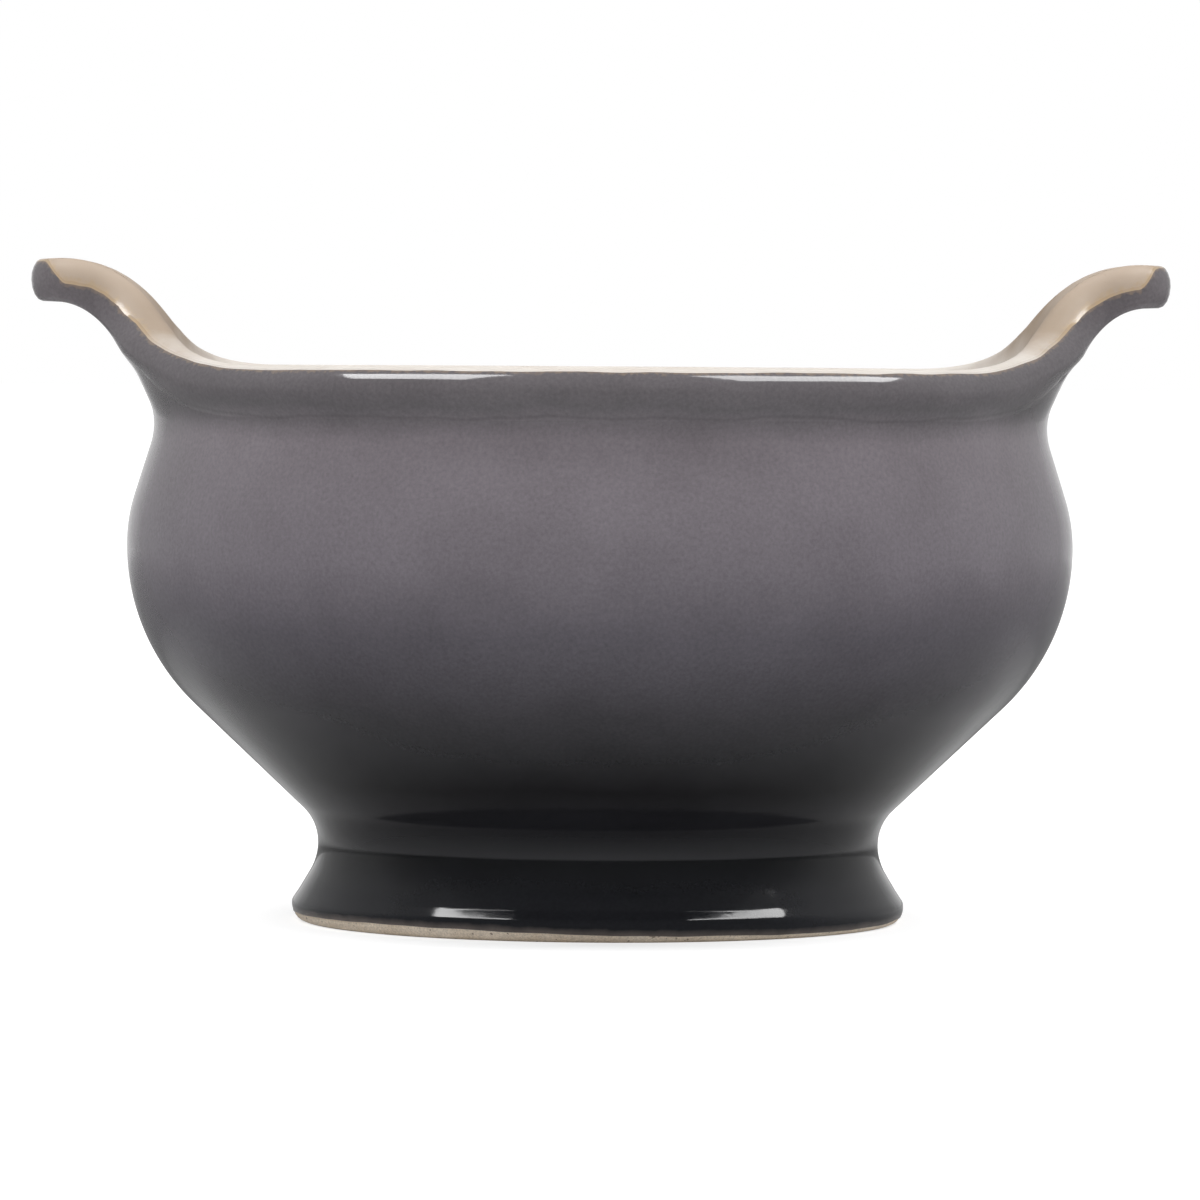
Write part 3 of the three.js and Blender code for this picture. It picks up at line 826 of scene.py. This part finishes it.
DARK_MOTTLE = {"size": 0.55 * MM, "low": 0.86, "high": 1.14, "roughness": 0.65, "usual": (0.25, 0.75)}
WARM_PATCHES = {"size": 16 * MM, "high": 0.15, "detail": 2.0, "usual": (0.42, 0.68)}
WARM_GREY = srgb(103, 101, 98)
DARK_ROUGHNESS = {"size": 5 * MM, "low": 0.06, "high": 0.12}
DARK_BUMPS = {"height": 0.02 * MM, "size": 3.5 * MM, "detail": 2.0}

# The thin glaze above the bare foot, by the distance from its stop
STOP_STRAY = {"size": 2.5 * MM, "low": -0.15 * MM, "high": 0.15 * MM}
STOP_FRINGE = {"reach": (0.0, 1 * MM), "share": 0.8, "colour": srgb(118, 110, 106)}

# The fine groove under the lip's band, drawn as a thin line of painted shade: its distance from the glaze
# line, its sway and its painted shade
GROOVE_DISTANCE = 7 * MM
GROOVE_SWAY = {"size": 14 * MM, "low": -0.4 * MM, "high": 0.4 * MM, "detail": 1.0}
GROOVE_PAINTED_SHADE = {"reach": (0.05 * MM, 0.45 * MM), "share": 0.22, "colour": srgb(58, 56, 58)}

# A painted reflection of the floor in front: paler just above the waist, by height
WAIST_STEP = (FOOT_HEIGHT, FOOT_HEIGHT + 0.3 * MM)
WAIST_PAINTED_REFLECTION = {"reach": (WAIST_STEP[1], FOOT_HEIGHT + 4 * MM), "share": 1.0, "colour": srgb(53, 53, 55)}

# The broken edge of the outside glaze, by the distance from the glaze line
LINE_STRAY = {"size": 0.9 * MM, "low": -0.35 * MM, "high": 0.35 * MM}
BROKEN_EDGE = {"reach": (0.0, 0.5 * MM), "share": 0.55, "colour": srgb(146, 128, 110)}


def dark_glaze():
    finish = Finish("dark_glaze")
    from_glaze_line = finish.field("from_line")
    level = finish.math("DIVIDE", finish.strayed(finish.height, SHADE_DRIFT), SHADE_TOP)
    # The ramp carries painted shade on the lip's band and a painted dark reflection at 22 mm
    stops = [(height * MM / SHADE_TOP, shade) for height, shade in GLAZE_AND_PAINTED_SHADES]
    body = finish.shaded(colour_ramp(finish.tree, level, stops), DARK_MOTTLE)
    body = finish.blend(finish.cloud(**WARM_PATCHES), body, WARM_GREY, "SOFT_LIGHT")
    body = finish.tinted(body, finish.strayed(finish.field("from_stop"), STOP_STRAY), **STOP_FRINGE)
    # A thin line of painted shade where the groove lies
    from_groove = finish.math("SUBTRACT", finish.strayed(from_glaze_line, GROOVE_SWAY), GROOVE_DISTANCE)
    body = finish.tinted(body, finish.math("ABSOLUTE", from_groove), **GROOVE_PAINTED_SHADE)
    # The painted reflection above the waist starts at a sharp step
    above_waist = finish.span(finish.height, *WAIST_STEP)
    body = finish.tinted(body, finish.height, **WAIST_PAINTED_REFLECTION, where=above_waist)
    body = finish.tinted(body, finish.strayed(from_glaze_line, LINE_STRAY), **BROKEN_EDGE)
    return finish.surface(body, finish.cloud(**DARK_ROUGHNESS), **DARK_BUMPS)


# The inside glaze: white at the rim, tan up the ears and paler at their tips
RIM_WHITE = srgb(216, 210, 203)
EAR_TAN = srgb(157, 140, 122)
EAR_TAN_REACH = (rim_height + 0.6 * MM, rim_height + 6 * MM)
TAN_DRIFT = {"size": 8 * MM, "low": -1 * MM, "high": 1 * MM}
TIP_TAN = srgb(175, 158, 141)
TIP_TAN_REACH = (rim_height + 9 * MM, rim_height + 14 * MM)
CREAM_PATCHES = {"size": 12 * MM, "high": 0.2}
PATCH_TAN = srgb(186, 168, 153)
CREAM_FLECKS = {"size": 0.5 * MM, "high": 0.35, "roughness": 0.7, "usual": (0.64, 0.74)}
FLECK_BROWN = srgb(150, 128, 104)
CREAM_ROUGHNESS = {"size": 4 * MM, "low": 0.5, "high": 0.62}
CREAM_BUMPS = {"height": 0.02 * MM, "size": 1.4 * MM, "detail": 3.0}

# The brown border of the cream on the ears and its smoother bead, by the distance from the glaze line
BORDER_STRAY = {"size": 1.2 * MM, "low": -0.8 * MM, "high": 0.8 * MM, "detail": 4.0, "roughness": 0.7}
CREAM_BORDER = {"reach": (0.0, 1.1 * MM), "share": 0.6, "colour": srgb(176, 152, 118)}
BEAD_REACH = (0.2 * MM, 1 * MM)
BEAD_ROUGHNESS_SHARE = (0.25, 1.0)


def cream_glaze():
    finish = Finish("cream_glaze")
    from_glaze_line = finish.field("from_line")
    ears = finish.span(finish.strayed(finish.height, TAN_DRIFT), *EAR_TAN_REACH)
    body = finish.blend(ears, RIM_WHITE, EAR_TAN)
    body = finish.blend(finish.span(finish.height, *TIP_TAN_REACH), body, TIP_TAN)
    body = finish.blend(finish.cloud(**CREAM_PATCHES), body, PATCH_TAN)
    body = finish.blend(finish.cloud(**CREAM_FLECKS), body, FLECK_BROWN)
    body = finish.tinted(body, finish.strayed(from_glaze_line, BORDER_STRAY), **CREAM_BORDER, where=ears)
    bead = finish.span(from_glaze_line, *BEAD_REACH, *BEAD_ROUGHNESS_SHARE)
    roughness = finish.math("MULTIPLY", bead, finish.cloud(**CREAM_ROUGHNESS))
    return finish.surface(body, roughness, **CREAM_BUMPS)


# Bare clay: warm and sandy, with dark specks of iron
CLAY_CLOUD = {"size": 6 * MM, "detail": 4.0}
CLAY_DARK = srgb(224, 208, 188)
CLAY_LIGHT = srgb(236, 223, 206)
CLAY_SAND = {"size": 0.35 * MM, "low": 0.8, "high": 1.12, "roughness": 0.7, "usual": (0.35, 0.65)}
CLAY_SPECKS = {"size": 0.7 * MM, "high": 0.7, "detail": 1.0, "usual": (0.68, 0.74)}
SPECK_BROWN = srgb(92, 70, 54)
CLAY_ROUGHNESS = {"size": 1 * MM, "low": 0.75, "high": 0.95, "detail": 2.0}
CLAY_BUMPS = {"height": 0.06 * MM, "size": 0.4 * MM, "detail": 4.0, "grain_roughness": 0.7}


def bare_stoneware():
    finish = Finish("bare_stoneware")
    body = finish.blend(finish.cloud(**CLAY_CLOUD), CLAY_DARK, CLAY_LIGHT)
    body = finish.shaded(body, CLAY_SAND)
    body = finish.blend(finish.cloud(**CLAY_SPECKS), body, SPECK_BROWN)
    return finish.surface(body, finish.cloud(**CLAY_ROUGHNESS), **CLAY_BUMPS)


# The dark glaze in the recess
RECESS_CLOUD = {"size": 8 * MM, "detail": 4.0}
RECESS_DARK = srgb(26, 26, 29)
RECESS_LIGHT = srgb(44, 43, 46)
RECESS_MOTTLE = {**DARK_MOTTLE, "low": 0.8, "high": 1.2}
RECESS_ROUGHNESS = {"size": 5 * MM, "low": 0.1, "high": 0.2}
RECESS_BUMPS = {"height": 0.02 * MM, "size": 3 * MM, "detail": 2.0}


def recess_glaze():
    finish = Finish("recess_glaze")
    body = finish.blend(finish.cloud(**RECESS_CLOUD), RECESS_DARK, RECESS_LIGHT)
    body = finish.shaded(body, RECESS_MOTTLE)
    return finish.surface(body, finish.cloud(**RECESS_ROUGHNESS), **RECESS_BUMPS)


def make_bowl():
    clay = bare_stoneware()
    pieces = clay_pieces(clay)
    wheel = wheel_tree()
    pieces["foot_ring"] = turned_piece(
        "stoneware_foot", wheel, foot_outline(), clay, FOOT_UNEVENNESS, SEEDS["foot"]
    )
    pieces["base_glaze"] = turned_piece("recess_coat", wheel, recess_outline(), recess_glaze())
    pieces["exterior_glaze"] = dark_coat(dark_glaze())
    pieces["interior_glaze"] = cream_coat(cream_glaze())
    for node, piece in pieces.items():
        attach(piece, "root")
        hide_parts(node)


# The camera: distance from the axis, height of the eye, turn round the bowl, point aimed at, roll and lens
CAMERA_DISTANCE = 1140 * MM
CAMERA_HEIGHT = 86.5 * MM
CAMERA_TURN = math.radians(-0.8)
CAMERA_AIM = Vector((0.08 * MM, 0, 48.4 * MM))
CAMERA_ROLL = math.radians(0.37)
LENS = 226.5
SENSOR = 36
FARTHEST_SEEN = 100


def make_camera():
    data = bpy.data.cameras.new("camera")
    data.lens = LENS
    data.sensor_width = SENSOR
    data.clip_end = FARTHEST_SEEN
    camera = bpy.data.objects.new("camera", data)
    across = CAMERA_DISTANCE * math.sin(CAMERA_TURN)
    away = CAMERA_DISTANCE * math.cos(CAMERA_TURN)
    place = Vector((across, -away, CAMERA_HEIGHT))
    aim = (CAMERA_AIM - place).to_track_quat("-Z", "Y").to_matrix().to_4x4()
    camera.matrix_world = Matrix.Translation(place) @ aim @ Matrix.Rotation(CAMERA_ROLL, 4, "Z")
    bpy.context.scene.collection.objects.link(camera)
    bpy.context.scene.camera = camera


# Two level softboxes above the bowl: each lies out along a turn from the camera's side, and across it
SOFTBOX_HEIGHT = 2
SOFTBOXES = {
    "left_softbox": {"turn": math.radians(-38.5), "out": (0.45, 1.4), "across": (0.2, 1.3), "glow": 11},
    "right_softbox": {"turn": math.radians(38.5), "out": (0.45, 1.4), "across": (0.2, 1.72), "glow": 9.5},
}


def make_softbox(name, turn, out, across, glow):
    """A softbox that faces down, with a face as bright as its glow."""
    outwards = Vector((math.sin(turn), -math.cos(turn), 0))
    sideways = Vector((math.cos(turn), math.sin(turn), 0)) * math.copysign(1, turn)
    light = bpy.data.lights.new(name, "AREA")
    light.shape = "RECTANGLE"
    light.size = across[1] - across[0]
    light.size_y = out[1] - out[0]
    light.energy = glow * math.pi * light.size * light.size_y
    lamp = bpy.data.objects.new(name, light)
    place = outwards * sum(out) / 2 + sideways * sum(across) / 2 + Vector((0, 0, SOFTBOX_HEIGHT))
    lamp.matrix_world = Matrix.Translation(place) @ Matrix.Rotation(turn, 4, "Z")
    bpy.context.scene.collection.objects.link(lamp)


# A broad fill from the camera's side, which the glaze doesn't mirror
FILL_PLACE = Vector((0, -3.1, 0.6))
FILL_SIZE = 2
FILL_POWER = 42


def make_fill():
    light = bpy.data.lights.new("fill", "AREA")
    light.size = FILL_SIZE
    light.energy = FILL_POWER
    lamp = bpy.data.objects.new("fill", light)
    facing = FILL_PLACE.to_track_quat("Z", "Y").to_matrix().to_4x4()
    lamp.matrix_world = Matrix.Translation(FILL_PLACE) @ facing
    lamp.visible_glossy = False
    bpy.context.scene.collection.objects.link(lamp)


def seen_directly(tree, path):
    """Whether a ray comes from the camera, straight or through something clear."""
    return math_node(tree, "MAXIMUM", path["Is Camera Ray"], path["Is Transmission Ray"])


# The floor as it is shown, with a glow that lifts it to white away from the bowl, and as it lights the bowl
FLOOR_SIZE = 30
FLOOR_SHOWN = 0.5
FLOOR_LIFT = {"reach": (0.1, 0.5), "glow": (0.7, 1.0)}
FLOOR_BOUNCE = 0.9

# The floor that the glaze mirrors: its levels by distance before and behind the bowl, their border, its end.
# The low levels close before the bowl are a painted shadow of the bowl, seen only in reflections
FLOOR_IN_FRONT = [(0.048, 0.04), (0.1, 0.12), (0.3, 0.05)]
FLOOR_BEHIND = [(0.12, 0.56), (0.22, 0.24)]
FLOOR_SIDES = (-0.06, 0.06)
FLOOR_MIRROR_END = (0.4, 1.6)


def floor_material():
    """For the camera white with the bowl's soft shadow, for light a pale paper, and dimmer in reflections."""
    material = bpy.data.materials.new("studio_floor")
    material.use_nodes = True
    tree = material.node_tree
    tree.nodes.clear()
    path = add_node(tree, "ShaderNodeLightPath").outputs
    place = add_node(tree, "ShaderNodeTexCoord").outputs["Object"]
    away = add_node(tree, "ShaderNodeVectorMath", {0: place}, operation="LENGTH").outputs["Value"]
    behind = add_node(tree, "ShaderNodeSeparateXYZ", {0: place}).outputs["Y"]

    def shader(kind, inputs=None):
        return add_node(tree, "ShaderNode" + kind, inputs).outputs[0]

    before, beyond = [
        colour_ramp(tree, away, [(distance, grey(level)) for distance, level in stops])
        for stops in (FLOOR_IN_FRONT, FLOOR_BEHIND)
    ]
    glow = mix_node(tree, range_node(tree, behind, *FLOOR_SIDES), before, beyond)
    shine = shader("Emission", {"Strength": glow})
    clear = shader("BsdfTransparent")
    mirrored = shader("MixShader", {0: range_node(tree, away, *FLOOR_MIRROR_END), 1: shine, 2: clear})
    paper = shader("BsdfDiffuse", {"Color": grey(FLOOR_BOUNCE)})
    unseen = shader("MixShader", {0: path["Is Glossy Ray"], 1: paper, 2: mirrored})
    white = shader("BsdfDiffuse", {"Color": grey(FLOOR_SHOWN)})
    lift = range_node(tree, away, *FLOOR_LIFT["reach"], *FLOOR_LIFT["glow"])
    shown = shader("AddShader", {0: white, 1: shader("Emission", {"Strength": lift})})
    surface = shader("MixShader", {0: seen_directly(tree, path), 1: unseen, 2: shown})
    add_node(tree, "ShaderNodeOutputMaterial", {"Surface": surface})
    return material


def make_floor():
    mesh = bpy.data.meshes.new("studio_floor")
    half = FLOOR_SIZE / 2
    corners = [(-half, -half, 0), (half, -half, 0), (half, half, 0), (-half, half, 0)]
    mesh.from_pydata(corners, [], [(0, 1, 2, 3)])
    mesh.materials.append(floor_material())
    floor = bpy.data.objects.new("studio_floor", mesh)
    bpy.context.scene.collection.objects.link(floor)


# The brightness of the room from the camera's side, at -1, to the far side, at 1, and its white backdrop
ROOM = [(-1, 0.07), (-0.4, 0.08), (-0.05, 0.2), (0.25, 0.36), (1, 0.42)]
BACKDROP = (0.7, 1.0)
BACKDROP_MIRRORED = 0.8


def make_world():
    """White for the camera. The bowl stands in a room that is dim in front, with a white backdrop behind."""
    world = bpy.data.worlds.new("studio")
    bpy.context.scene.world = world
    world.use_nodes = True
    tree = world.node_tree
    tree.nodes.clear()
    path = add_node(tree, "ShaderNodeLightPath").outputs
    way = add_node(tree, "ShaderNodeTexCoord").outputs["Generated"]
    depth = add_node(tree, "ShaderNodeSeparateXYZ", {0: way}).outputs["Y"]
    depth_share = math_node(tree, "MULTIPLY_ADD", depth, 0.5, 0.5)
    room = colour_ramp(tree, depth_share, [((place + 1) / 2, grey(level)) for place, level in ROOM])
    backdrop = range_node(tree, depth, *BACKDROP)
    shine = math_node(tree, "MULTIPLY", path["Is Glossy Ray"], BACKDROP_MIRRORED)
    mirrored = math_node(tree, "MULTIPLY", backdrop, shine)
    around = math_node(tree, "MAXIMUM", room, mirrored)
    strength = mix_node(tree, seen_directly(tree, path), around, 1.0)
    background = add_node(tree, "ShaderNodeBackground", {"Color": grey(1.0), "Strength": strength})
    add_node(tree, "ShaderNodeOutputWorld", {"Surface": background.outputs[0]})


make_bowl()
make_camera()
for name, values in SOFTBOXES.items():
    make_softbox(name, **values)
make_fill()
make_floor()
make_world()
bpy.context.scene.view_settings.view_transform = "Standard"
